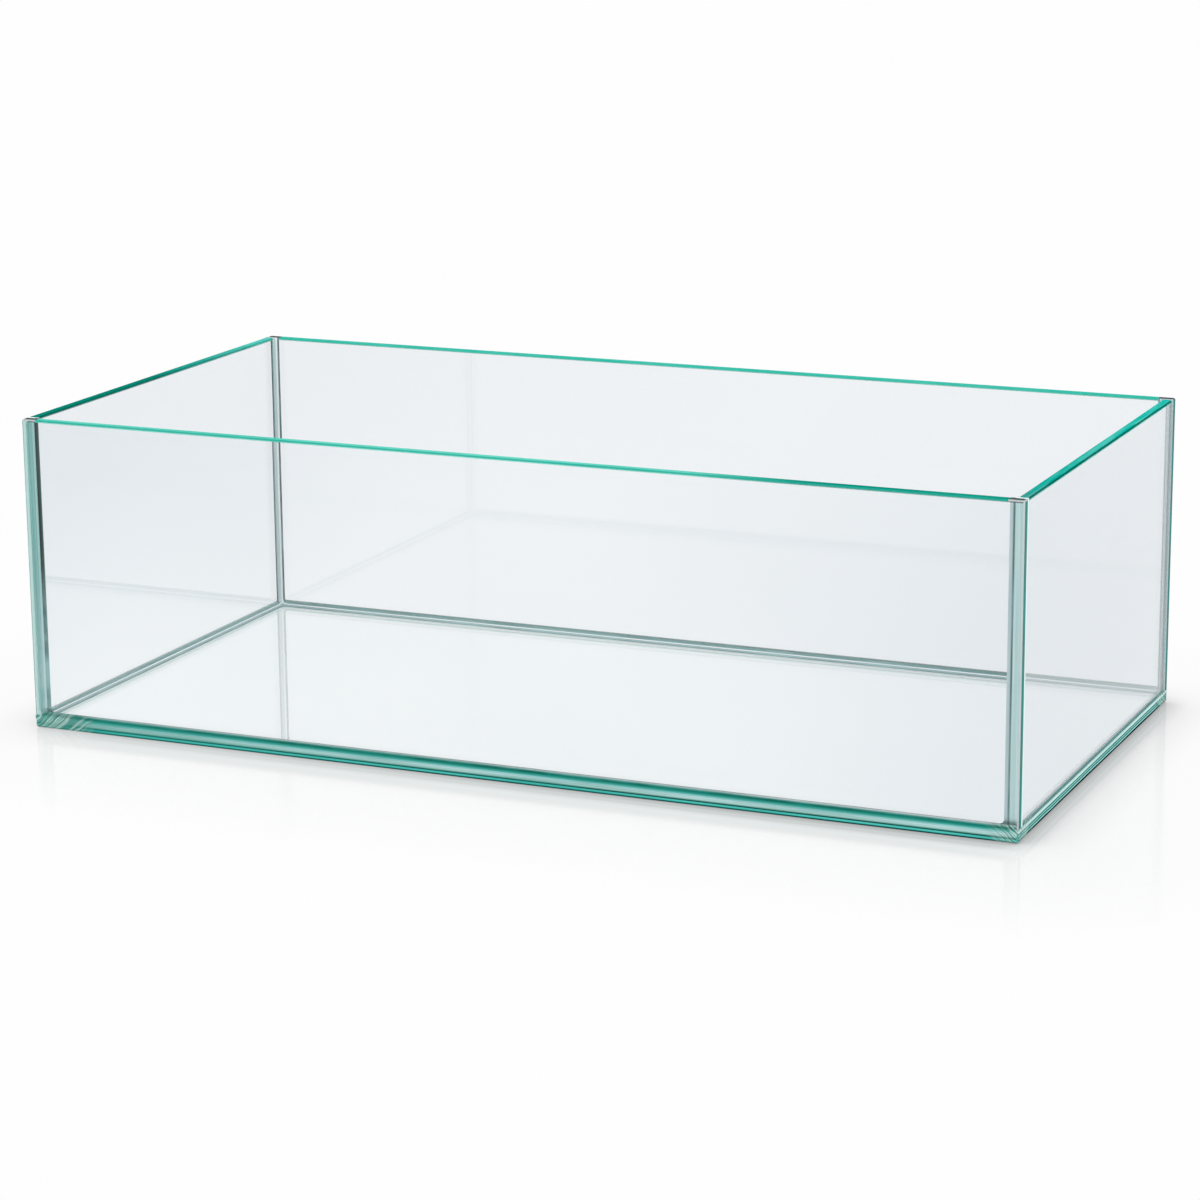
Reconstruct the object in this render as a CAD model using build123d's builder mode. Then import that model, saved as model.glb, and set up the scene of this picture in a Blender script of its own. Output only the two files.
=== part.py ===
from build123d import *

import math
import os

# Shallow rimless aquarium: five float glass panes glued edge to face with clear silicone.
# Millimetres. The origin is the middle of the underside, +X runs along the length,
# +Y goes from the front pane to the back pane and +Z is up.

# Driving dimensions over the glass
tank_length = 600.0
tank_width = 300.0
tank_height = 184.0

# Driving dimensions of the panes
wall_glass = 6.0
base_glass = 6.0
edge_arris = 0.8

# Driving dimensions of the silicone
bond_gap = 0.6
seal_leg = 3.0
seal_hollow = 0.4

# The walls stand on the base pane, on a film of silicone.
# Front and back run the full length, and the sides stand between them.
wall_foot = base_glass + bond_gap
wall_rise = tank_height - wall_foot
inner_length = tank_length - 2 * wall_glass
inner_width = tank_width - 2 * wall_glass
side_run = inner_width - 2 * bond_gap
wall_line_x = (tank_length - wall_glass) / 2
wall_line_y = (tank_width - wall_glass) / 2

# A round tool hollows each inner bead below the straight line between its two legs.
# Its axis stays seal_reach off both panes, so its side would cut tool_overlap into them.
tool_radius = (seal_leg**2 / 2 + seal_hollow**2) / (2 * seal_hollow)
seal_reach = (seal_leg + math.sqrt(2 * tool_radius**2 - seal_leg**2)) / 2
tool_overlap = tool_radius - seal_reach

# How far the tool's stroke runs out above the rim
tool_runout = 20.0

os.makedirs("parts", exist_ok=True)


def finish(piece, label):
    """Name a finished piece and write it to its own file."""
    piece.part.label = label
    export_step(piece.part, f"parts/{label}.step")


def glass_pane(label, size_x, size_y, rise, place):
    """A cut pane with a small polished arris on every edge, its foot centred on place."""
    with BuildPart() as pane:
        with BuildSketch(Plane(origin=place)):
            Rectangle(size_x, size_y)
        extrude(amount=rise)
        chamfer(pane.edges(), length=edge_arris)
    finish(pane, label)
    return pane


# Glass panes

base_pane = glass_pane("base_pane", tank_length, tank_width, base_glass, (0, 0, 0))
front_pane = glass_pane(
    "front_pane", tank_length, wall_glass, wall_rise, (0, -wall_line_y, wall_foot)
)
back_pane = glass_pane(
    "back_pane", tank_length, wall_glass, wall_rise, (0, wall_line_y, wall_foot)
)
left_pane = glass_pane(
    "left_pane", wall_glass, side_run, wall_rise, (-wall_line_x, 0, wall_foot)
)
right_pane = glass_pane(
    "right_pane", wall_glass, side_run, wall_rise, (wall_line_x, 0, wall_foot)
)


# Structural bonds: the films that hold the panes together.
# Each also fills the grooves that the arrises leave, and is struck off flush with the glass.

bond_depth = bond_gap + 2 * edge_arris


def base_bond(label, size_x, size_y, place_x, place_y, wall):
    """The film between a wall's foot and the base pane."""
    with BuildPart() as bond:
        with BuildSketch(Plane(origin=(place_x, place_y, base_glass - edge_arris))):
            Rectangle(size_x, size_y)
        extrude(amount=bond_depth)
        add(base_pane.part, mode=Mode.SUBTRACT)
        add(wall.part, mode=Mode.SUBTRACT)
    finish(bond, label)
    return bond


front_base_bond = base_bond(
    "front_base_bond", tank_length, wall_glass, 0, -wall_line_y, front_pane
)
back_base_bond = base_bond("back_base_bond", tank_length, wall_glass, 0, wall_line_y, back_pane)
left_base_bond = base_bond("left_base_bond", wall_glass, inner_width, -wall_line_x, 0, left_pane)
right_base_bond = base_bond("right_base_bond", wall_glass, inner_width, wall_line_x, 0, right_pane)


def corner_bond(label, end_x, end_y, neighbours):
    """The upright film between a side pane's end and the inner face of a full-length pane."""
    film_y = end_y * (inner_width - bond_gap) / 2
    with BuildPart() as bond:
        with BuildSketch(Plane(origin=(end_x * wall_line_x, film_y, wall_foot))):
            Rectangle(wall_glass, bond_depth)
        extrude(amount=wall_rise)
        for neighbour in neighbours:
            add(neighbour.part, mode=Mode.SUBTRACT)
    finish(bond, label)


corner_bond(
    "front_left_corner_bond", -1, -1, (front_pane, left_pane, front_base_bond, left_base_bond)
)
corner_bond(
    "front_right_corner_bond", 1, -1, (front_pane, right_pane, front_base_bond, right_base_bond)
)
corner_bond("back_left_corner_bond", -1, 1, (back_pane, left_pane, back_base_bond, left_base_bond))
corner_bond(
    "back_right_corner_bond", 1, 1, (back_pane, right_pane, back_base_bond, right_base_bond)
)


# Inner seals: a tooled bead in every inside corner.
# The tool's whole stroke is one volume with rounded edges, so the three beads
# that meet at each foot run into one another over a ball-shaped hollow.

with BuildPart() as tool_stroke:
    with BuildSketch(Plane.XY.offset(base_glass - tool_overlap)):
        Rectangle(inner_length + 2 * tool_overlap, inner_width + 2 * tool_overlap)
    extrude(amount=tank_height + tool_runout)
    upright_edges = tool_stroke.edges().filter_by(Axis.Z)
    foot_edges = tool_stroke.faces().sort_by(Axis.Z)[0].edges()
    fillet(upright_edges + foot_edges, radius=tool_radius)


def mitres(end_x, end_y, run):
    """The two planes that cut a bead along run where the other two beads meet it."""
    corner = Vector(end_x * inner_length / 2, end_y * inner_width / 2, base_glass)
    inward = (Vector(-end_x, 0, 0), Vector(0, -end_y, 0), Vector(0, 0, 1))
    return [
        Plane(origin=corner, z_dir=inward[run] - across)
        for axis, across in enumerate(inward)
        if axis != run
    ]


def inner_seal(label, blank_plane, size_u, size_v, blank_run, cuts):
    """A square blank along one inside corner, mitred at its ends and hollowed by the tool."""
    with BuildPart() as seal:
        with BuildSketch(blank_plane):
            Rectangle(size_u, size_v)
        extrude(amount=blank_run)
        for cut in cuts:
            split(bisect_by=cut, keep=Keep.TOP)
        add(tool_stroke.part, mode=Mode.SUBTRACT)
    finish(seal, label)


seal_line_x = (inner_length - seal_reach) / 2
seal_line_y = (inner_width - seal_reach) / 2

for side, end_y in (("front", -1), ("back", 1)):
    inner_seal(
        f"{side}_base_seal",
        Plane(origin=(0, end_y * seal_line_y, base_glass)),
        inner_length,
        seal_reach,
        seal_reach,
        mitres(-1, end_y, 0) + mitres(1, end_y, 0),
    )

for side, end_x in (("left", -1), ("right", 1)):
    inner_seal(
        f"{side}_base_seal",
        Plane(origin=(end_x * seal_line_x, 0, base_glass)),
        seal_reach,
        inner_width,
        seal_reach,
        mitres(end_x, -1, 1) + mitres(end_x, 1, 1),
    )

for side_y, end_y in (("front", -1), ("back", 1)):
    for side_x, end_x in (("left", -1), ("right", 1)):
        inner_seal(
            f"{side_y}_{side_x}_corner_seal",
            Plane(origin=(end_x * seal_line_x, end_y * seal_line_y, base_glass)),
            seal_reach,
            seal_reach,
            tank_height - base_glass,
            mitres(end_x, end_y, 2),
        )
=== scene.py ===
import math

import bmesh
import bpy
from mathutils import Matrix, Vector


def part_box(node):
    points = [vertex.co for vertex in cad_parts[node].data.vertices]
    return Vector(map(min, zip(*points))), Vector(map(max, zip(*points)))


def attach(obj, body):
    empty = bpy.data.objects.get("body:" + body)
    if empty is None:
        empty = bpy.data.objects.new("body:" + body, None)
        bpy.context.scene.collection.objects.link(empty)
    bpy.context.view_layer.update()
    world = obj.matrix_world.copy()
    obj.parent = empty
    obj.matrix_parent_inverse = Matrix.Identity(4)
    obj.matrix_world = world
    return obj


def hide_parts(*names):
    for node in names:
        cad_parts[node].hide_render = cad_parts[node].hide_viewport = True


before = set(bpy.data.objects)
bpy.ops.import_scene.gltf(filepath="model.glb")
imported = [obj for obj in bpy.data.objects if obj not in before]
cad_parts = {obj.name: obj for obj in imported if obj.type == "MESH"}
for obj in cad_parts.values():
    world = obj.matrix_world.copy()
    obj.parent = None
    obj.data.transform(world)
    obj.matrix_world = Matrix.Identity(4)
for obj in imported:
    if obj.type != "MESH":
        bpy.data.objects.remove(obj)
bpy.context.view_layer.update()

# Base pane: one sheet of float glass that the whole tank is built up from.
# It is cut to size, its edges are ground flat and polished, and a small arris takes off
# each sharp corner. Light that has run along the sheet leaves it green at these edges;
# that green is painted on the cut faces, with painted bands and glints of light and shade.

mm = 0.001

base_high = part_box("base_pane")[1]
wall_low, wall_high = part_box("front_pane")
half_length = base_high.x
half_width = base_high.y
base_top = base_high.z
wall_foot = wall_low.z
rim_height = wall_high.z
wall_glass = wall_high.y - wall_low.y
inner_x = half_length - wall_glass
inner_y = half_width - wall_glass
arris = 0.8 * mm
bead_leg = 3.0 * mm
hair = 0.1 * mm

# A face whose normal goes this far along an axis looks square along it, or leans that way.
square_on = 0.9
leaning = 0.5


def paint(red, green, blue):
    """A colour as it is seen, 0 to 255, as the linear colour that a node takes."""
    seen = [channel / 255 for channel in (red, green, blue)]
    linear = [c / 12.92 if c <= 0.04045 else ((c + 0.055) / 1.055) ** 2.4 for c in seen]
    return (*linear, 1.0)


class Value:
    """A number in a node tree. Each operator on it adds the Math node that works it out."""

    def __init__(self, recipe, socket):
        self.recipe = recipe
        self.socket = socket

    def math(self, operation, *terms):
        sockets = dict(enumerate(terms))
        return self.recipe.node("ShaderNodeMath", {"operation": operation}, sockets)

    def other(self, output):
        """Another output of the same node."""
        return Value(self.recipe, self.socket.node.outputs[output])

    def __add__(self, term):
        return self.math("ADD", self, term)

    def __radd__(self, term):
        return self.math("ADD", term, self)

    def __sub__(self, term):
        return self.math("SUBTRACT", self, term)

    def __rsub__(self, term):
        return self.math("SUBTRACT", term, self)

    def __mul__(self, term):
        return self.math("MULTIPLY", self, term)

    def __rmul__(self, term):
        return self.math("MULTIPLY", term, self)

    def __truediv__(self, term):
        return self.math("DIVIDE", self, term)

    def __pow__(self, term):
        return self.math("POWER", self, term)

    def __abs__(self):
        return self.math("ABSOLUTE", self)

    def __lt__(self, term):
        return self.math("LESS_THAN", self, term)

    def __gt__(self, term):
        return self.math("GREATER_THAN", self, term)

    def __and__(self, term):
        return self.math("MULTIPLY", self, term)

    def __or__(self, term):
        return self.math("MAXIMUM", self, term)

    def clamped(self, low, high):
        return self.math("MAXIMUM", self.math("MINIMUM", self, high), low)


class Recipe:
    """A node tree written down step by step."""

    def __init__(self, tree):
        self.tree = tree
        tree.nodes.clear()

    def node(self, kind, settings=None, sockets=None, output=0):
        """Add one node, give it its settings, fill its sockets and return one output."""
        made = self.tree.nodes.new(kind)
        for name, setting in (settings or {}).items():
            if name == "stops":
                ramp = made.color_ramp
                while len(ramp.elements) < len(setting):
                    ramp.elements.new(1.0)
                for element, (position, colour) in zip(ramp.elements, setting):
                    element.position = position
                    element.color = colour
            else:
                setattr(made, name, setting)
        for name, content in (sockets or {}).items():
            if isinstance(content, Value):
                self.tree.links.new(content.socket, made.inputs[name])
            else:
                made.inputs[name].default_value = content
        return Value(self, made.outputs[output]) if made.outputs else None

    def axes(self, vector):
        """The three parts of a vector."""
        x = self.node("ShaderNodeSeparateXYZ", {}, {0: vector}, "X")
        return x, x.other("Y"), x.other("Z")

    def blend(self, share, first, second):
        """One colour over another, by a share from 0 to 1."""
        sockets = {0: share, 6: first, 7: second}
        return self.node("ShaderNodeMix", {"data_type": "RGBA"}, sockets, 2)

    def fade(self, value, low, high):
        """0 below low, 1 above high and a straight line between them."""
        sockets = {"Value": value, "From Min": low, "From Max": high}
        return self.node("ShaderNodeMapRange", {}, sockets)

    def mix(self, share, first, second):
        """One shader over another, by a share from 0 to 1."""
        return self.node("ShaderNodeMixShader", {}, {0: share, 1: first, 2: second})


def material_recipe(label):
    made = bpy.data.materials.new(label)
    made.use_nodes = True
    return made, Recipe(made.node_tree)


def glued(x, y, z):
    """1 where silicone wets the glass. Here x and y are distances from the tank's middle."""
    slack = 0.05 * mm
    within = (x < half_length - slack) & (y < half_width - slack)
    within = within & (z > base_top - arris - slack) & (z < rim_height - slack)
    near_side = x > inner_x - bead_leg
    near_long = y > inner_y - bead_leg
    near_wall = near_side | near_long
    film = (z < wall_foot + arris + slack) & near_wall
    room = (x < inner_x + slack) & (y < inner_y + slack)
    foot_bead = room & (z < base_top + bead_leg) & near_wall
    upright = near_side & near_long & (y < inner_y + arris + slack)
    return within & (film | foot_bead | upright)


def cut_glass(label, flat_axis, shaded_tint, unshaded_tint, edge_colour):
    """Clear glass whose two broad faces look along flat_axis and whose cut edges are green."""
    made, recipe = material_recipe(label)
    place = recipe.node("ShaderNodeTexCoord", {}, {}, "Object")
    facing = recipe.node("ShaderNodeNewGeometry", {}, {}, "True Normal")
    x, y, z = recipe.axes(place)
    across = [abs(part) for part in recipe.axes(facing)]

    # Upright edges let a little of the clear glass through, and so does the glow under the rim.
    # That glow is painted: the rim's green is painted on the broad faces just under the arris,
    # standing in for light that runs along the pane.
    upright_cover = 0.88
    rim_cover = 0.85
    glow_low = rim_height - arris - 0.8 * mm
    glow_full = rim_height - arris - 0.3 * mm
    level = (across[2] > leaning) | (flat_axis == 2)
    edge_and_painted_glow = (across[flat_axis] < square_on) & (upright_cover + (1 - upright_cover) * level)
    edge_and_painted_glow = edge_and_painted_glow | recipe.fade(z, glow_low, glow_full) * rim_cover
    if flat_axis < 2:
        outer_face = abs((x, y)[flat_axis]) > (half_length, half_width)[flat_axis] - hair

        # Below the bead's top the outer face is painted with the wall's foot colours, a painted
        # glow of the light in the glass and silicone behind it. On the two near walls the bead
        # behind the glass looks about a millimetre higher.
        near_wall = y < 0 if flat_axis else x > 0
        looks_higher = (1.15, 0.95)[flat_axis] * mm
        foot_cover = (0.8, 0.85)[flat_axis]
        glow_top = near_wall * looks_higher + (base_top + bead_leg)
        painted_foot_glow = recipe.fade(z, glow_top + 2 * hair, glow_top - hair) * foot_cover

        # The front and back panes are painted with a pale upright strip of light just inside
        # their left ends.
        light_strip_cover = 0.8 * flat_axis
        from_end = x + half_length
        painted_light_strip = recipe.fade(from_end, 3.4 * mm, 2.7 * mm)
        painted_light_strip = painted_light_strip & recipe.fade(from_end, 0.8 * mm, 1.4 * mm)
        edge_and_painted_glow = edge_and_painted_glow | ((painted_foot_glow | painted_light_strip * light_strip_cover) & outer_face)

    # Painted shade: the glass is painted darker towards the right end and the upper left, in
    # soft clouds, where it mirrors the darker parts of the room.
    cloud = recipe.node("ShaderNodeTexNoise", {}, {"Vector": place, "Scale": 5.0, "Detail": 0.0})
    to_right = recipe.fade(x, 0.2 * half_length, half_length)
    to_upper_left = recipe.fade(z - 0.5 * x, 0.7 * rim_height, 1.6 * rim_height)
    shade = to_right | to_upper_left
    if flat_axis == 2:
        # The base pane is also painted darker towards its left end.
        to_left = recipe.fade(x, -0.1 * half_length, -1.2 * half_length)
        shade = shade | to_left * 0.7
    tint_and_painted_shade = recipe.blend(shade * 0.75 + (cloud - 0.5), unshaded_tint, shaded_tint)
    polished = recipe.node(
        "ShaderNodeBsdfPrincipled",
        {},
        {"Base Color": tint_and_painted_shade, "Roughness": 0.0, "IOR": 1.52, "Transmission Weight": 1.0},
    )
    seen_colour = edge_colour(recipe, place, (x, y, z), across)
    outside = recipe.node(
        "ShaderNodeBsdfPrincipled",
        {},
        {"Base Color": seen_colour, "Roughness": 0.25, "Specular IOR Level": 0.0},
    )

    # Light from inside the pane comes out through the same colour, as a white and a green part.
    red = recipe.node("ShaderNodeSeparateColor", {}, {"Color": seen_colour}, "Red")
    white_part = recipe.node("ShaderNodeBsdfTranslucent", {}, {"Color": (1, 1, 1, 1)})
    green_part = recipe.node("ShaderNodeBsdfTranslucent", {}, {"Color": (0, 1, 0.8, 1)})
    held_back = recipe.node("ShaderNodeBsdfDiffuse", {}, {"Color": (0, 0, 0, 1)})
    inside = recipe.mix((red.other("Green") - red) / (1 - red), held_back, green_part)
    inside = recipe.mix(red, inside, white_part)
    lit_end = (across[0] > leaning) & (x < 0)
    inside_share = 0.1 if flat_axis == 2 else 0.3 + 0.4 * lit_end
    ground = recipe.mix(inside_share, outside, inside)
    dry = recipe.mix(edge_and_painted_glow, polished, ground)
    bonded = recipe.node("ShaderNodeBsdfTransparent")
    surface = recipe.mix(glued(abs(x), abs(y), z), dry, bonded)

    # Iron in the glass takes red light first: the share lost in each metre is 12 x (1 - colour).
    depth = recipe.node(
        "ShaderNodeVolumeAbsorption", {}, {"Color": (0.75, 0.93, 0.94, 1), "Density": 12.0}
    )
    recipe.node("ShaderNodeOutputMaterial", {}, {"Surface": surface, "Volume": depth})
    return made


def streaks(recipe, place, stretch):
    """Soft streaks, for painted uneven light along a polished edge and for fine lines elsewhere.
    A large stretch gives fine lines that way.
    """
    long_way = recipe.node("ShaderNodeMapping", {}, {"Vector": place, "Scale": stretch})
    cloud = recipe.node(
        "ShaderNodeTexNoise", {}, {"Vector": long_way, "Scale": 1.0, "Detail": 3.0}
    )
    return recipe.fade(cloud, 0.42, 0.64)


def painted_uneven_light(recipe, place, at, bands):
    """Painted bands of light along an edge: streaked, painted dimmer to the left, and broken at
    the ends by painted glints and gloom.
    """
    out_x = abs(at[0])
    out_y = abs(at[1])
    skirt = arris + hair
    on_long = out_y > half_width - skirt
    on_short = out_x > half_length - skirt
    dimmer = recipe.fade(at[0], 0.2 * half_length, -half_length) & on_long
    bands = recipe.blend(dimmer * 0.45, bands, paint(40, 160, 146))
    fine = streaks(recipe, place, (16, 16, 420)) * (0.3 - 0.2 * on_short)
    bands = recipe.blend(fine, bands, paint(14, 150, 134))

    # Near the corners painted slanted glints cross the edge, as the arrises on both sides would
    # throw them, over painted deeper green and gloom. They reach further in from the left end.
    fade_run = 14 * mm
    starts_x = half_length - 18 * mm - 22 * mm * (at[0] < 0)
    starts_y = half_width - 30 * mm
    near_corner = recipe.fade(out_x, starts_x, starts_x + fade_run)
    near_corner = near_corner & recipe.fade(out_y, starts_y, half_width - fade_run)
    bend = recipe.node("ShaderNodeTexNoise", {}, {"Vector": place, "Scale": 90.0, "Detail": 1.0})
    bend_depth = 9 * mm
    glints_per_metre = 150
    slant = out_x + out_y + 1.3 * at[2] + (bend - 0.5) * bend_depth
    ripple = recipe.node(
        "ShaderNodeTexNoise",
        {"noise_dimensions": "1D"},
        {"W": slant * glints_per_metre, "Detail": 1.0},
    )
    painted_corner_shade = near_corner * (0.15 + 0.45 * (at[0] < 0))
    bands = recipe.blend(painted_corner_shade, bands, paint(16, 152, 134))
    gloom = recipe.fade(ripple, 0.48, 0.58) & near_corner
    glint = recipe.fade(abs(ripple - 0.5), 0.05, 0.015) & near_corner
    bands = recipe.blend(gloom * 0.8, bands, paint(0, 124, 108))
    return recipe.blend(glint * 0.85, bands, paint(232, 250, 248))


def base_edge_colour(recipe, place, at, across):
    """The base pane's edge, painted in bands of light and shade from its dark foot to its pale
    upper half.
    """
    level = at[2] / base_top
    long_bands = recipe.node(
        "ShaderNodeValToRGB",
        {
            "stops": [
                (0.00, paint(6, 38, 34)),
                (0.11, paint(8, 66, 60)),
                (0.15, paint(12, 132, 124)),
                (0.22, paint(96, 222, 212)),
                (0.33, paint(96, 222, 212)),
                (0.37, paint(8, 82, 72)),
                (0.44, paint(12, 92, 82)),
                (0.54, paint(140, 190, 180)),
                (0.60, paint(196, 234, 230)),
                (0.72, paint(190, 234, 234)),
                (0.84, paint(222, 252, 252)),
                (0.92, paint(214, 250, 250)),
            ]
        },
        {0: level},
    )

    # The short edges are painted with fine bright lines of light on a darker green.
    light = streaks(recipe, place, (16, 16, 16))
    waver = 0.05
    short_bands = recipe.node(
        "ShaderNodeValToRGB",
        {
            "stops": [
                (0.00, paint(2, 14, 14)),
                (0.27, paint(2, 16, 18)),
                (0.31, paint(30, 124, 120)),
                (0.35, paint(190, 255, 252)),
                (0.43, paint(190, 255, 252)),
                (0.47, paint(14, 106, 104)),
                (0.57, paint(22, 114, 112)),
                (0.61, paint(168, 236, 226)),
                (0.69, paint(168, 236, 226)),
                (0.73, paint(42, 128, 122)),
                (0.83, paint(50, 134, 128)),
                (0.92, paint(180, 236, 224)),
            ]
        },
        {0: level + (light - 0.5) * waver},
    )
    bands = recipe.blend(across[0] > leaning, long_bands, short_bands)
    bands = painted_uneven_light(recipe, place, at, bands)
    corner = (across[0] > leaning) & (across[1] > leaning)
    return recipe.blend(corner, bands, paint(84, 186, 174))


base_glass = cut_glass(
    "base_glass", 2, (0.905, 0.915, 0.93, 1), (0.95, 0.956, 0.963, 1), base_edge_colour
)
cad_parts["base_pane"].data.materials.clear()
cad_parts["base_pane"].data.materials.append(base_glass)


# Base bonds: the silicone films that the four walls stand on.
# A line of clear silicone is run along the base pane, the wall is set down on it, and what
# is squeezed out is struck off flush with the glass, so it fills the groove at each arris.


def silicone(label, skin, painted_glow_strength, film, cover):
    """The finishes of one run: its open skin, where it wets glass, and where it meets more."""
    skinned, recipe = material_recipe(f"{label}_skin")
    place = recipe.node("ShaderNodeTexCoord", {}, {}, "Object")
    skin_colour = skin(recipe)
    ripple = recipe.node(
        "ShaderNodeTexNoise", {}, {"Vector": place, "Scale": 320.0, "Detail": 2.0}
    )
    wiped = recipe.node(
        "ShaderNodeBump", {}, {"Strength": 0.25, "Distance": 0.2 * mm, "Height": ripple}
    )
    # The skin glows a little in its own colour: painted light, standing in for light carried in
    # through the glass.
    gel = recipe.node(
        "ShaderNodeBsdfPrincipled",
        {},
        {
            "Base Color": skin_colour,
            "Roughness": 0.12,
            "IOR": 1.41,
            "Emission Color": skin_colour,
            "Emission Strength": painted_glow_strength,
            "Normal": wiped,
        },
    )
    recipe.node("ShaderNodeOutputMaterial", {}, {"Surface": gel})

    wetted, recipe = material_recipe(f"{label}_on_glass")
    silvery = recipe.node(
        "ShaderNodeBsdfPrincipled",
        {},
        {"Base Color": film(recipe), "Metallic": 1.0, "Roughness": 0.3},
    )
    clear = recipe.node("ShaderNodeBsdfTransparent")
    recipe.node(
        "ShaderNodeOutputMaterial", {}, {"Surface": recipe.mix(cover, clear, silvery)}
    )

    joined, recipe = material_recipe(f"{label}_seam")
    through = recipe.node("ShaderNodeBsdfTransparent")
    recipe.node("ShaderNodeOutputMaterial", {}, {"Surface": through})
    return skinned, wetted, joined


def lit_foot(recipe, place, colour, painted_foot_light):
    """A post's colour, changed low down in broken patches to a second colour: painted light from
    the base pane.
    """
    z = recipe.axes(place)[2]
    light_ends = 96 * mm
    light_full = 48 * mm
    reached = recipe.fade(z, light_ends, light_full)
    broken = streaks(recipe, place, (60, 60, 60))
    return recipe.blend(reached * (1.0 - 0.6 * broken), colour, painted_foot_light)


def drawn_lines(stretch, first, second, foot=None):
    """A film finely streaked between two colours, changed low down by painted light when a foot
    colour is given.
    """

    def colour(recipe):
        place = recipe.node("ShaderNodeTexCoord", {}, {}, "Object")
        lines = recipe.blend(streaks(recipe, place, stretch), first, second)
        return lit_foot(recipe, place, lines, foot) if foot else lines

    return colour


glass_bite = 0.03 * mm
weld = 0.001 * mm


def bond(name, finishes):
    """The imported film, with its wetted faces pressed a hair into the glass they hold."""
    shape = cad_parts[name].data.copy()
    shape.name = f"{name}_film"
    shape.materials.clear()
    for finish in finishes:
        shape.materials.append(finish)
    edit = bmesh.new()
    edit.from_mesh(shape)
    bmesh.ops.remove_doubles(edit, verts=edit.verts, dist=weld)
    bmesh.ops.dissolve_limit(edit, angle_limit=0.001, verts=edit.verts, edges=edit.edges)
    slack = 10 * weld
    for face in edit.faces:
        middle = face.calc_center_median()
        outside = abs(middle.x) > half_length - slack or abs(middle.y) > half_width - slack
        fills_groove = max(abs(part) for part in face.normal) < square_on
        if outside or middle.z > rim_height - slack:
            face.material_index = 0
        else:
            face.material_index = 2 if fills_groove else 1
    pushes = {}
    for corner in edit.verts:
        normals = []
        for face in corner.link_faces:
            if face.material_index and all((face.normal - n).length > 0.05 for n in normals):
                normals.append(face.normal.copy())
        push = sum(normals, Vector())
        if abs(abs(corner.co.x) - half_length) < slack:
            push.x = 0
        if abs(abs(corner.co.y) - half_width) < slack:
            push.y = 0
        if abs(corner.co.z - rim_height) < slack:
            push.z = 0
        pushes[corner] = push * glass_bite
    for corner, push in pushes.items():
        corner.co += push
    edit.to_mesh(shape)
    edit.free()
    film = bpy.data.objects.new(f"{name}_film", shape)
    bpy.context.scene.collection.objects.link(film)
    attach(film, "root")
    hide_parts(name)


def struck_film(recipe):
    """The flush skin between base and wall, in painted bands of light: pale low down and green
    higher up.
    """
    place = recipe.node("ShaderNodeTexCoord", {}, {}, "Object")
    at = recipe.axes(place)
    level = recipe.fade(at[2], base_top - arris, wall_foot + arris)
    long_stops = [
        (0.00, paint(172, 228, 228)),
        (0.22, paint(167, 226, 226)),
        (0.38, paint(110, 200, 194)),
        (0.52, paint(72, 178, 170)),
        (0.74, paint(6, 156, 138)),
        (1.00, paint(0, 151, 134)),
    ]
    short_stops = [
        (0.00, paint(120, 196, 188)),
        (0.14, paint(206, 252, 240)),
        (0.58, paint(200, 248, 242)),
        (0.76, paint(150, 204, 206)),
        (1.00, paint(118, 180, 184)),
    ]
    long_bands = recipe.node("ShaderNodeValToRGB", {"stops": long_stops}, {0: level})
    short_bands = recipe.node("ShaderNodeValToRGB", {"stops": short_stops}, {0: level})
    on_short = abs(at[0]) > half_length - hair
    bands = recipe.blend(on_short, long_bands, short_bands)
    return painted_uneven_light(recipe, place, at, bands)


base_bond_finishes = silicone(
    "base_bond",
    struck_film,
    0.0,
    drawn_lines((60, 60, 60), paint(60, 214, 192), paint(120, 236, 218)),
    0.9,
)
for name in ("front_base_bond", "back_base_bond", "left_base_bond", "right_base_bond"):
    bond(name, base_bond_finishes)


# Walls: four panes of the same glass, stood on the base pane.
# The front and back run the full length and close over the ends of the two side panes.
# Their rims are polished too, and show green; how that green changes along each rim, with
# its patches, arris line and caps, is painted light and shade.


def painted_foot_light(recipe, place, at, along):
    """The painted glow a wall shows outside its lowest bead: green on the long ones, grey on the
    short, with painted dark patches.
    """
    long_stops = [
        (0.00, paint(6, 158, 140)),
        (0.22, paint(8, 148, 132)),
        (0.42, paint(60, 176, 166)),
        (0.62, paint(150, 214, 209)),
        (0.82, paint(240, 248, 250)),
        (1.00, paint(252, 254, 255)),
    ]
    short_stops = [
        (0.00, paint(104, 170, 180)),
        (0.40, paint(120, 176, 178)),
        (0.68, paint(140, 180, 184)),
        (0.88, paint(224, 238, 240)),
        (1.00, paint(250, 253, 254)),
    ]
    stops = (long_stops, short_stops)[along]
    pale_top = base_top + bead_leg + 1.0 * mm
    level = recipe.fade(at[2], wall_foot + arris, pale_top)
    bands = recipe.node("ShaderNodeValToRGB", {"stops": stops}, {0: level})
    dark = (paint(0, 112, 98), paint(100, 150, 156))[along]
    patches = streaks(recipe, place, (45, 45, 60)) & recipe.fade(level, 0.7, 0.4)
    bands = recipe.blend(patches * 0.8, bands, dark)
    return painted_uneven_light(recipe, place, at, bands)


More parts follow.
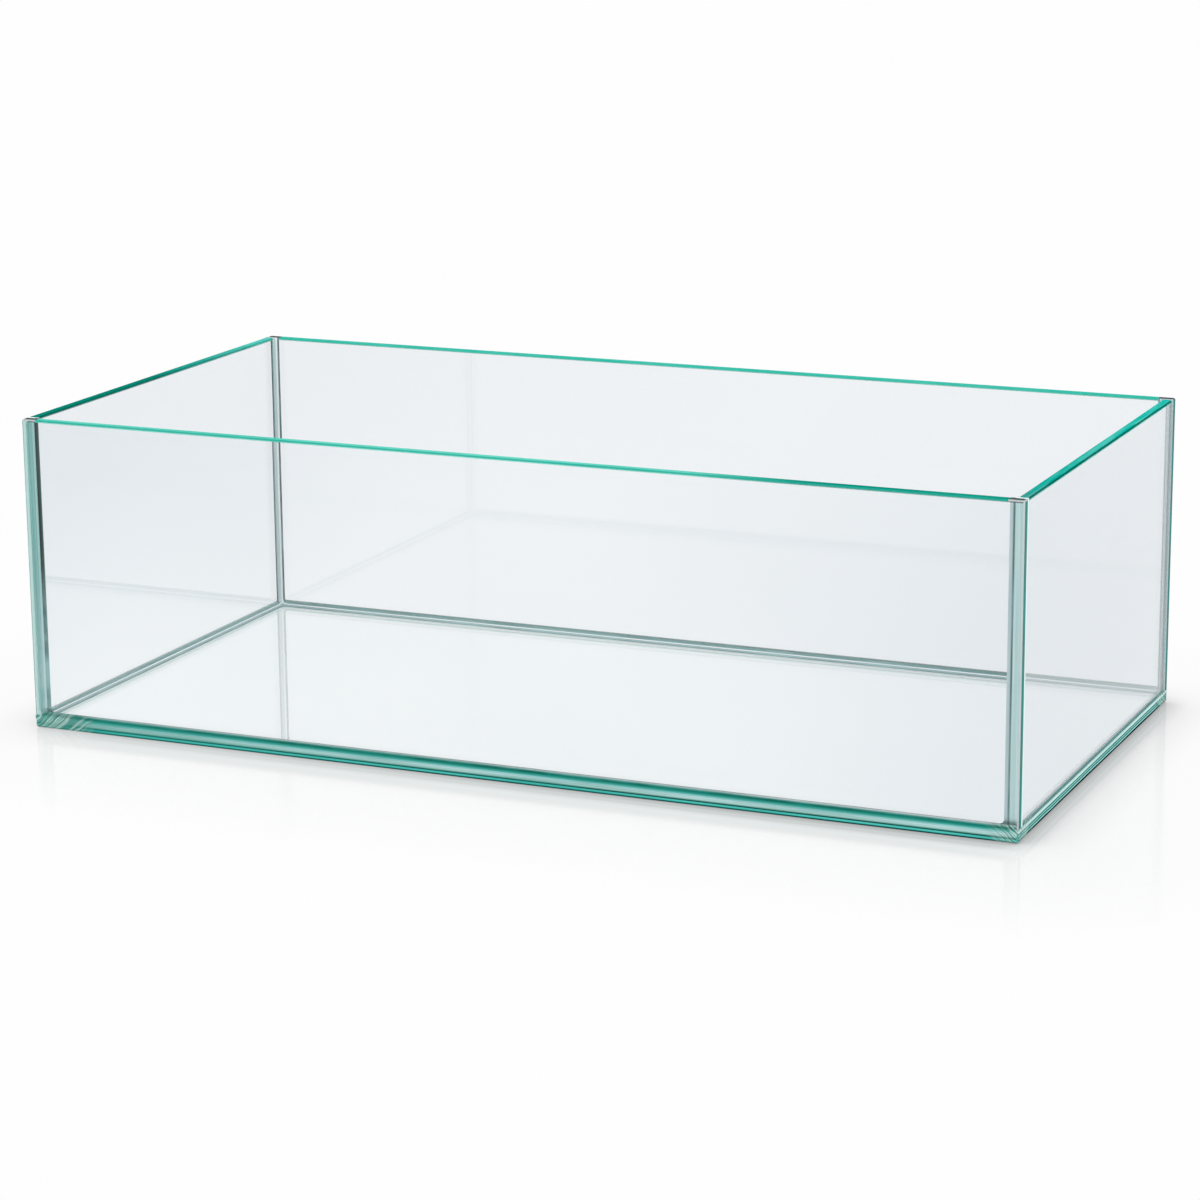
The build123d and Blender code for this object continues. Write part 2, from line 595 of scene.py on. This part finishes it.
def rim_colour(along, run_of_colours, patch, patch_share, outer_arris, painted_cap):
    """The cut edges of a wall, whose rim's painted light and shade change from one end to the
    other.
    """
    half_run = (half_length, half_width)[along]
    outer_face = (half_width, half_length)[along]
    fine_lines = 300
    long_lines = 24
    stretch = [fine_lines, fine_lines, long_lines]
    stretch[along] = long_lines
    light_strip_width = 4 * mm

    def colour(recipe, place, at, across):
        travelled = recipe.fade(at[along], -half_run, half_run)
        rim = recipe.node("ShaderNodeValToRGB", {"stops": run_of_colours}, {0: travelled})
        # Painted patches of light and shade along the rim, and a painted line along its outer
        # arris.
        rim = recipe.blend(streaks(recipe, place, stretch) * patch_share, rim, patch)
        arris_face = (across[2] > leaning) & (across[2] < square_on)
        outer = abs(at[1 - along]) > outer_face - arris * 1.1
        rim = recipe.blend(arris_face & outer & 0.8, rim, outer_arris)
        if along == 0:
            # Over the corner posts the front and back rims take painted caps: a painted
            # reflection, silvery on the front and grey on the back.
            over_corner = abs(at[0]) > inner_x - bead_leg
            rim = recipe.blend(over_corner, rim, recipe.blend(arris_face, *painted_cap))
        # Painted light at the ends: the left end faces are painted pale, the right-end upright
        # arrises take a pale painted highlight, and the left-end ones a green that changes low
        # down.
        upright = (across[0] > leaning) & (across[1] > leaning)
        left_end = at[0] < 0
        end_face = recipe.blend(
            recipe.fade(abs(at[1]), inner_y, half_width),
            paint(90, 172, 168),
            paint(40, 138, 134),
        )
        end_face = recipe.blend(left_end, end_face, paint(214, 246, 243))
        left_arris = lit_foot(recipe, place, paint(138, 206, 199), paint(30, 164, 152))
        upright_arris = recipe.blend(left_end, paint(232, 240, 240), left_arris)
        side = recipe.blend(upright, end_face, upright_arris)
        # The broad faces show the painted glow: the foot's colours low down and the rim's up
        # high.
        foot = painted_foot_light(recipe, place, at, along)
        glow = recipe.blend(at[2] > 0.5 * rim_height, foot, rim)
        if along == 0:
            # A painted pale strip of light just inside the left end.
            painted_light_strip = at[0] < light_strip_width - half_length
            glow = recipe.blend(painted_light_strip, glow, paint(222, 255, 252))
        side = recipe.blend(across[1 - along] > square_on, side, glow)
        return recipe.blend(across[2] > leaning, side, rim)

    return colour


# The four walls are one glass: the back and left panes are painted greyer and the right pane
# darker still, as painted shade.
clear_tint = ((0.91, 0.92, 0.935, 1), (1.0, 1.0, 1.0, 1))
grey_shaded_tint = ((0.86, 0.875, 0.9, 1), (0.9, 0.912, 0.935, 1))
deep_shaded_tint = ((0.84, 0.856, 0.88, 1), (0.88, 0.893, 0.915, 1))
silvery_cap_reflection = (paint(96, 104, 106), paint(220, 226, 227))
# Each wall lists its tints (the painted-shade one, then the unshaded one), which way it runs,
# the rim's painted run of colours from end to end, a painted patch colour and its share, the
# painted colour of its outer arris line, and its painted caps over the corners.
walls = {
    "front_pane": (
        clear_tint,
        0,
        [(0.0, paint(122, 244, 222)), (0.68, paint(118, 242, 220)), (0.79, paint(0, 160, 138))],
        paint(40, 196, 174),
        0.35,
        paint(50, 190, 170),
        silvery_cap_reflection,
    ),
    "back_pane": (
        grey_shaded_tint,
        0,
        [(0.0, paint(60, 212, 186)), (1.0, paint(64, 214, 190))],
        paint(100, 228, 208),
        0.5,
        paint(40, 190, 168),
        (paint(78, 86, 92), paint(96, 104, 110)),
    ),
    "left_pane": (
        grey_shaded_tint,
        1,
        [
            (0.0, paint(4, 142, 120)),
            (0.48, paint(10, 148, 126)),
            (0.62, paint(44, 186, 168)),
            (1.0, paint(108, 238, 222)),
        ],
        paint(20, 166, 148),
        0.5,
        paint(6, 130, 110),
        None,
    ),
    "right_pane": (
        deep_shaded_tint,
        1,
        [(0.0, paint(0, 96, 86)), (0.1, paint(0, 190, 174)), (1.0, paint(26, 214, 198))],
        paint(124, 240, 228),
        0.5,
        paint(0, 88, 72),
        None,
    ),
}
for name, (tints, along, *edge_look) in walls.items():
    edges = rim_colour(along, *edge_look)
    glass = cut_glass(f"{name}_glass", 1 - along, *tints, edges)
    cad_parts[name].data.materials.clear()
    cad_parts[name].data.materials.append(glass)


# Corner bonds: the upright films between the side panes' ends and the full-length panes.
# They are pressed out thin when the corner is clamped, and look finely lined through the
# glass in front of them. Their colours are painted light and shade: pale skins at the front
# corners, greyer ones at the back, films lighter or darker at each corner, and a painted glow.

pale_skin = drawn_lines((900, 900, 12), paint(186, 226, 222), paint(232, 246, 245))
shaded_grey_skin = drawn_lines((900, 900, 12), paint(120, 140, 146), paint(160, 180, 184))
for corner, skin, darker_film, paler_film, foot in (
    ("front_left", pale_skin, paint(172, 220, 218), paint(206, 244, 242), paint(226, 244, 247)),
    ("back_left", shaded_grey_skin, paint(149, 195, 193), paint(179, 217, 215), None),
    ("front_right", pale_skin, paint(195, 226, 226), paint(224, 244, 243), None),
    ("back_right", shaded_grey_skin, paint(180, 215, 218), paint(215, 238, 240), None),
):
    corner_bond_finishes = silicone(
        f"{corner}_corner_bond",
        skin,
        0.2,
        drawn_lines((1400, 1400, 10), darker_film, paler_film, foot),
        0.95,
    )
    bond(f"{corner}_corner_bond", corner_bond_finishes)


# Inner seals: a bead of clear silicone in every inside corner, which keeps the water in.
# Each is drawn hollow with a ball-ended tool, so the three beads that meet at a foot run
# into one another over a ball-shaped hollow.

bead_hollow = 0.4 * mm
tool_ripple = 0.12 * mm
tool = (bead_leg**2 / 2 + bead_hollow**2) / (2 * bead_hollow)
reach = (bead_leg + math.sqrt(2 * tool**2 - bead_leg**2)) / 2
foot_leg = reach - math.sqrt((tool**2 - reach**2) / 2)

bead_tree = bpy.data.node_groups.new("tooled_bead", "GeometryNodeTree")
bead_inputs = {}
for label, kind in (
    ("Corner", "NodeSocketVector"),
    ("Run", "NodeSocketVector"),
    ("First Side", "NodeSocketVector"),
    ("Second Side", "NodeSocketVector"),
    ("Length", "NodeSocketFloat"),
    ("Far Foot", "NodeSocketFloat"),
    ("Tool Radius", "NodeSocketFloat"),
    ("Tool Reach", "NodeSocketFloat"),
    ("Foot Leg", "NodeSocketFloat"),
    ("Glass Bite", "NodeSocketFloat"),
    ("Ripple", "NodeSocketFloat"),
    ("Seed", "NodeSocketFloat"),
    ("Skin", "NodeSocketMaterial"),
    ("On Glass", "NodeSocketMaterial"),
    ("Seam", "NodeSocketMaterial"),
):
    bead_inputs[label] = bead_tree.interface.new_socket(
        label, in_out="INPUT", socket_type=kind
    ).identifier
bead_tree.interface.new_socket("Bead", in_out="OUTPUT", socket_type="NodeSocketGeometry")

bead = Recipe(bead_tree)
given = bead.node("NodeGroupInput", {}, {}, "Corner")
length = given.other("Length")
far_foot = given.other("Far Foot")
radius = given.other("Tool Radius")
centre = given.other("Tool Reach")
widest = given.other("Foot Leg")
bite = given.other("Glass Bite")

# The bead starts as a flat grid: its rows run along the corner, its columns go round it.
columns = 13
half_rows = 26
foot_rows = 7
rows = 2 * half_rows + 2
sheet = bead.node(
    "GeometryNodeMeshGrid", {}, {"Vertices X": rows, "Vertices Y": columns}, "Mesh"
)
count = bead.node("GeometryNodeInputIndex")
row = (count / columns).math("FLOOR", count / columns)
column = count - row * columns
at_corner = (column < 0.5) | (column > columns - 1.5)
turn = ((column - 1) * (2 / (columns - 3)) - 1).clamped(-1, 1) * (1 - at_corner)
far_half = row > half_rows + 0.5
step = row + far_half * ((rows - 1) - 2 * row) - 1
capping = step < -0.5
foot = 1 - far_half * (1 - far_foot)

# Distance along the run, from the mitre where two beads meet to the middle of the bead.
lean = turn * widest * math.sqrt(0.5)
mitre_ball = (3 * radius**2 - 4 * lean**2).math("SQRT", 3 * radius**2 - 4 * lean**2)
mitre = centre - (mitre_ball - abs(lean) * math.sqrt(2)) / 3
start = mitre * foot * (1 - at_corner)
rise = (step / foot_rows).clamped(0, 1)
straight = (step - foot_rows).clamped(0, half_rows)
pace = (length / 2 - centre) / (half_rows - foot_rows - 0.5)
travel = (start + (centre - start) * rise + straight * pace) * (1 - capping)

# The hollow is a round tool's path: a cylinder along the run, and a ball in the foot.
in_ball = (centre - travel).clamped(0, 1) * foot
section = radius**2 - in_ball**2
at_leg = (centre - travel.math("MAXIMUM", travel, widest)).clamped(0, 1) * foot
leg_chord = radius**2 - at_leg**2 - centre**2
leg = centre - leg_chord.math("SQRT", leg_chord)
spread = turn * leg * math.sqrt(0.5)
drop = (section - spread**2) * 0.5
drop = drop.math("SQRT", drop)
wobble = bead.node(
    "ShaderNodeTexNoise",
    {"noise_dimensions": "4D"},
    {
        "Vector": bead.node("ShaderNodeCombineXYZ", {}, {"X": travel, "Y": far_half}),
        "W": given.other("Seed"),
        "Scale": 45.0,
        "Detail": 2.0,
    },
)
drop = drop + (wobble - 0.5) * given.other("Ripple") * (1 - turn**2) * rise
hollow = 1 - (at_corner | capping)
first = (centre - drop + spread * math.sqrt(0.5)) * hollow
second = (centre - drop - spread * math.sqrt(0.5)) * hollow
first = first - bite * (first < weld)
second = second - bite * (second < weld)
travel = travel - bite * capping * foot
travel = travel + far_half * (length - 2 * travel)

place = given
for amount, direction in ((travel, "Run"), (first, "First Side"), (second, "Second Side")):
    shift = bead.node(
        "ShaderNodeVectorMath",
        {"operation": "SCALE"},
        {0: given.other(direction), "Scale": amount},
    )
    place = bead.node("ShaderNodeVectorMath", {"operation": "ADD"}, {0: place, 1: shift})

# Which finish each face takes is noted before the ends are drawn together and closed.
face_row = (count / (columns - 1)).math("FLOOR", count / (columns - 1))
face_column = count - face_row * (columns - 1)
on_glass = (face_column < 0.5) | (face_column > columns - 2.5)
near_cap = face_row < 0.5
far_cap = face_row > rows - 2.5
seam = near_cap | (far_cap & far_foot)
noted = sheet
for label, domain, amount in (
    ("turn", "POINT", turn),
    ("nearness", "POINT", at_corner),
    ("on_glass", "FACE", on_glass & (1 - near_cap) & (1 - far_cap)),
    ("seam", "FACE", seam),
):
    noted = bead.node(
        "GeometryNodeStoreNamedAttribute",
        {"data_type": "FLOAT", "domain": domain},
        {"Geometry": noted, "Name": label, "Value": amount},
    )
shaped = bead.node("GeometryNodeSetPosition", {}, {"Geometry": noted, "Position": place})
closed = bead.node(
    "GeometryNodeMergeByDistance", {}, {"Geometry": shaped, "Distance": 2 * weld}
)
skin_face = 1 - bead.node("GeometryNodeInputNamedAttribute", {}, {"Name": "on_glass"})
smooth = bead.node(
    "GeometryNodeSetShadeSmooth",
    {"domain": "FACE"},
    {"Geometry": closed, "Selection": skin_face, "Shade Smooth": True},
)
made_real = bead.node("GeometryNodeRealizeInstances", {}, {"Geometry": smooth})
for label, finish in (("", "Skin"), ("on_glass", "On Glass"), ("seam", "Seam")):
    chosen = {"Geometry": made_real, "Material": given.other(finish)}
    if label:
        chosen["Selection"] = bead.node("GeometryNodeInputNamedAttribute", {}, {"Name": label})
    made_real = bead.node("GeometryNodeSetMaterial", {}, chosen)
bead.node("NodeGroupOutput", {}, {"Bead": made_real})


def bands_across(attribute, stops, dapple, foot=None):
    """Painted lines of light and shade that run the length of a bead, placed by how far round it
    they lie.
    """
    low, high = {"turn": (-1.0, 1.0), "nearness": (0.0, 1.0)}[attribute]

    def colour(recipe):
        place = recipe.node("ShaderNodeTexCoord", {}, {}, "Object")
        round_it = recipe.node("ShaderNodeAttribute", {"attribute_name": attribute}, {}, "Fac")
        share = recipe.fade(round_it, low, high)
        lines = recipe.node("ShaderNodeValToRGB", {"stops": stops}, {0: share})
        lines = recipe.blend(streaks(recipe, place, (28, 28, 28)) * 0.4, lines, dapple)
        return lit_foot(recipe, place, lines, foot) if foot else lines

    return colour


# Turn runs from the wall's side of the bead to the base's side, or from one wall to the next.
# Nearness runs from a bead's thin edge on the glass to the corner behind it.
# All the beads are one clear silicone. Their colours are painted light and shade: white lines
# where the bead mirrors the light, dark lines and near-black films where it lies in shade, and
# each corner painted lighter or darker.
base_seal_finishes = silicone(
    "base_seal",
    bands_across(
        "turn",
        [
            (0.00, paint(130, 178, 180)),
            (0.08, paint(100, 150, 152)),
            (0.29, paint(100, 150, 152)),
            (0.36, paint(255, 255, 255)),
            (0.45, paint(255, 255, 255)),
            (0.52, paint(156, 188, 190)),
            (0.76, paint(146, 180, 182)),
            (0.81, paint(104, 136, 138)),
            (0.93, paint(104, 136, 138)),
            (0.98, paint(230, 244, 246)),
        ],
        paint(170, 206, 206),
    ),
    0.2,
    bands_across(
        "nearness",
        [
            (0.0, paint(170, 230, 226)),
            (0.15, paint(60, 200, 190)),
            (0.4, paint(26, 186, 172)),
            (1.0, paint(60, 218, 204)),
        ],
        paint(16, 160, 146),
    ),
    0.97,
)
left_seal_finishes = silicone(
    "left_seal",
    bands_across(
        "turn",
        [
            (0.00, paint(50, 84, 88)),
            (0.24, paint(46, 80, 84)),
            (0.31, paint(250, 255, 255)),
            (0.45, paint(250, 255, 255)),
            (0.56, paint(200, 218, 220)),
            (0.80, paint(186, 206, 208)),
            (1.00, paint(206, 222, 224)),
        ],
        paint(186, 208, 210),
    ),
    0.2,
    bands_across(
        "nearness",
        [
            (0.0, paint(116, 150, 148)),
            (0.14, paint(70, 106, 104)),
            (0.35, paint(36, 62, 58)),
            (0.6, paint(14, 36, 34)),
            (0.88, paint(10, 30, 28)),
            (0.96, paint(190, 224, 224)),
        ],
        paint(60, 92, 90),
        paint(150, 190, 190),
    ),
    1.0,
)
right_seal_finishes = silicone(
    "right_seal",
    bands_across(
        "turn",
        [
            (0.00, paint(150, 192, 190)),
            (0.30, paint(120, 172, 172)),
            (0.42, paint(240, 250, 250)),
            (0.62, paint(240, 250, 250)),
            (0.76, paint(120, 160, 166)),
            (1.00, paint(150, 186, 192)),
        ],
        paint(150, 200, 198),
    ),
    0.2,
    bands_across(
        "nearness",
        [
            (0.0, paint(206, 222, 226)),
            (0.5, paint(196, 214, 218)),
            (0.72, paint(74, 114, 112)),
            (0.9, paint(90, 130, 128)),
            (1.0, paint(140, 176, 174)),
        ],
        paint(170, 198, 202),
    ),
    0.95,
)
back_right_seal_finishes = silicone(
    "back_right_seal",
    bands_across(
        "turn",
        [
            (0.00, paint(200, 222, 226)),
            (0.68, paint(200, 222, 226)),
            (0.74, paint(10, 50, 62)),
            (0.84, paint(10, 50, 62)),
            (0.90, paint(190, 214, 218)),
            (1.00, paint(200, 222, 226)),
        ],
        paint(180, 206, 210),
    ),
    0.1,
    bands_across(
        "nearness",
        [
            (0.00, paint(84, 150, 166)),
            (0.13, paint(84, 150, 166)),
            (0.30, paint(190, 222, 228)),
            (0.50, paint(233, 254, 254)),
            (0.80, paint(233, 254, 254)),
            (1.00, paint(192, 226, 232)),
        ],
        paint(196, 222, 226),
    ),
    0.95,
)


def seal(name, corner, run, first_side, length, far_foot, finishes, seed):
    """One bead, swept by the node tree and turned into a plain mesh."""
    carrier = bpy.data.objects.new(f"{name}_sweep", bpy.data.meshes.new(f"{name}_sweep"))
    bpy.context.scene.collection.objects.link(carrier)
    sweep = carrier.modifiers.new("bead", "NODES")
    sweep.node_group = bead_tree
    skinned, wetted, joined = finishes
    run = Vector(run)
    first_side = Vector(first_side)
    for label, content in {
        "Corner": corner,
        "Run": run,
        "First Side": first_side,
        "Second Side": run.cross(first_side),
        "Length": length,
        "Far Foot": far_foot,
        "Tool Radius": tool,
        "Tool Reach": reach,
        "Foot Leg": foot_leg,
        "Glass Bite": glass_bite,
        "Ripple": tool_ripple,
        "Seed": seed,
        "Skin": skinned,
        "On Glass": wetted,
        "Seam": joined,
    }.items():
        sweep[bead_inputs[label]] = content
    graph = bpy.context.evaluated_depsgraph_get()
    shape = bpy.data.meshes.new_from_object(carrier.evaluated_get(graph))
    bpy.data.objects.remove(carrier)
    piece = bpy.data.objects.new(f"{name}_bead", shape)
    bpy.context.scene.collection.objects.link(piece)
    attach(piece, "root")
    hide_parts(name)


for seed, (name, corner, run, first_side, run_length) in enumerate(
    (
        ("front", (-inner_x, -inner_y), (1, 0, 0), (0, 1, 0), 2 * inner_x),
        ("back", (inner_x, inner_y), (-1, 0, 0), (0, -1, 0), 2 * inner_x),
        ("right", (inner_x, -inner_y), (0, 1, 0), (-1, 0, 0), 2 * inner_y),
        ("left", (-inner_x, inner_y), (0, -1, 0), (1, 0, 0), 2 * inner_y),
    )
):
    seal(
        f"{name}_base_seal",
        (*corner, base_top),
        run,
        first_side,
        run_length,
        1.0,
        base_seal_finishes,
        10.0 + 3.7 * seed,
    )

for seed, (name, end_x, end_y, first_side, finishes) in enumerate(
    (
        ("front_left", -1, -1, (1, 0, 0), left_seal_finishes),
        ("front_right", 1, -1, (0, 1, 0), right_seal_finishes),
        ("back_left", -1, 1, (0, -1, 0), left_seal_finishes),
        ("back_right", 1, 1, (-1, 0, 0), back_right_seal_finishes),
    )
):
    seal(
        f"{name}_corner_seal",
        (end_x * inner_x, end_y * inner_y, base_top),
        (0, 0, 1),
        first_side,
        rim_height - base_top,
        0.0,
        finishes,
        40.0 + 2.9 * seed,
    )


# Floor: a plain white studio sweep, a hair below the tank.
# It is seen at its own white, with the tank's soft contact shadow painted in from occlusion,
# and with a faint mirror image that dies away within 150 mm of the glass.

floor_half = 30.0
floor_drop = 0.3 * mm
wide_reach = 44 * mm
narrow_reach = 16 * mm
mirror_reach = 150 * mm
mirror_share = 0.17
floor_shape = bpy.data.meshes.new("floor")
floor_shape.from_pydata(
    [
        (-floor_half, -floor_half, -floor_drop),
        (floor_half, -floor_half, -floor_drop),
        (floor_half, floor_half, -floor_drop),
        (-floor_half, floor_half, -floor_drop),
    ],
    [],
    [(0, 1, 2, 3)],
)
floor_paint, recipe = material_recipe("studio_floor")
light_path = recipe.node("ShaderNodeLightPath", {}, {}, "Is Camera Ray")
mirrored = light_path.other("Is Glossy Ray") | light_path.other("Is Transmission Ray")
place = recipe.node("ShaderNodeTexCoord", {}, {}, "Object")
x, y = recipe.axes(place)[:2]

# The painted contact shadow is made deeper towards the right end.
lee_side = recipe.fade(x, -half_length, 1.1 * half_length)
beyond_x = (abs(x) - half_length).clamped(0, floor_half)
beyond_y = (abs(y) - half_width).clamped(0, floor_half)
from_glass = (beyond_x**2 + beyond_y**2) ** 0.5
wide, narrow = (
    1 - recipe.node("ShaderNodeAmbientOcclusion", {"samples": 16}, {"Distance": reach_out}, "AO")
    for reach_out in (wide_reach, narrow_reach)
)
wide = (wide**1.3 * (1.0 + 0.3 * lee_side)).clamped(0, 1)
narrow = narrow * (0.25 + 0.75 * lee_side)
lit, half_shade, full_shade, through = (
    recipe.node("ShaderNodeEmission", {}, {"Color": (*colour, 1)})
    for colour in (
        (0.99, 0.99, 0.99),
        (0.5, 0.5, 0.51),
        (0.28, 0.28, 0.28),
        (0.985, 0.985, 0.985),
    )
)
direct = recipe.mix(wide, lit, half_shade)
direct = recipe.mix(narrow * 0.85, direct, full_shade)
mirror = recipe.node("ShaderNodeBsdfGlossy", {}, {"Roughness": 0.1})
near_glass = recipe.fade(from_glass, mirror_reach, 0.0)
seen = recipe.mix(near_glass * mirror_share, direct, mirror)
matt = recipe.node("ShaderNodeBsdfDiffuse", {}, {"Color": (0.9, 0.9, 0.9, 1)})
surface = recipe.mix(light_path, recipe.mix(mirrored, matt, through), seen)
recipe.node("ShaderNodeOutputMaterial", {}, {"Surface": surface})
floor_shape.materials.append(floor_paint)
floor = bpy.data.objects.new("floor", floor_shape)
bpy.context.scene.collection.objects.link(floor)


# Light: an even white studio dome.
# In the glass it shows a darker ring between the bright horizon and the soft box overhead.

studio = bpy.data.worlds.new("studio")
studio.use_nodes = True
bpy.context.scene.world = studio
recipe = Recipe(studio.node_tree)
sky = recipe.node("ShaderNodeTexCoord", {}, {}, "Generated")
height = recipe.axes(sky)[2]
ring = recipe.node(
    "ShaderNodeValToRGB",
    {
        "stops": [
            (0.00, (1, 1, 1, 1)),
            (0.32, (1, 1, 1, 1)),
            (0.46, (0.7, 0.7, 0.7, 1)),
            (0.66, (0.7, 0.7, 0.7, 1)),
            (0.82, (1, 1, 1, 1)),
        ]
    },
    {0: height},
)
light_path = recipe.node("ShaderNodeLightPath", {}, {}, "Is Glossy Ray")
mirrored = light_path | light_path.other("Is Transmission Ray")
dome = recipe.blend(mirrored, (1, 1, 1, 1), ring)
recipe.node(
    "ShaderNodeOutputWorld",
    {},
    {"Surface": recipe.node("ShaderNodeBackground", {}, {"Color": dome, "Strength": 1.0})},
)


# Camera: the photograph's place, about two metres off, a little above the rim.
# Azimuth and elevation are those of the line from the tank to the lens, in degrees.

azimuth = math.radians(23.5922)
elevation = math.radians(14.0182)
roll = math.radians(-0.4939)
distance = 2.0368
aim = Vector((0.0336, -0.0840, 0.092))
forward = Vector(
    (
        -math.sin(azimuth) * math.cos(elevation),
        math.cos(azimuth) * math.cos(elevation),
        -math.sin(elevation),
    )
)
level_right = forward.cross(Vector((0, 0, 1))).normalized()
level_up = level_right.cross(forward)
right = math.cos(roll) * level_right + math.sin(roll) * level_up
up = math.cos(roll) * level_up - math.sin(roll) * level_right
lens = bpy.data.cameras.new("camera")
lens.sensor_width = 36.0
lens.lens = 108.69
camera = bpy.data.objects.new("camera", lens)
stand = Matrix((right, up, -forward)).transposed().to_4x4()
stand.translation = aim - forward * distance
camera.matrix_world = stand
bpy.context.scene.collection.objects.link(camera)
bpy.context.scene.camera = camera

# Light crosses up to ten panes and films on its way, and turns many times inside them.
cycles = bpy.context.scene.cycles
cycles.max_bounces = 32
cycles.transmission_bounces = 32
cycles.glossy_bounces = 16
cycles.transparent_max_bounces = 64
bpy.context.scene.view_settings.view_transform = "Standard"
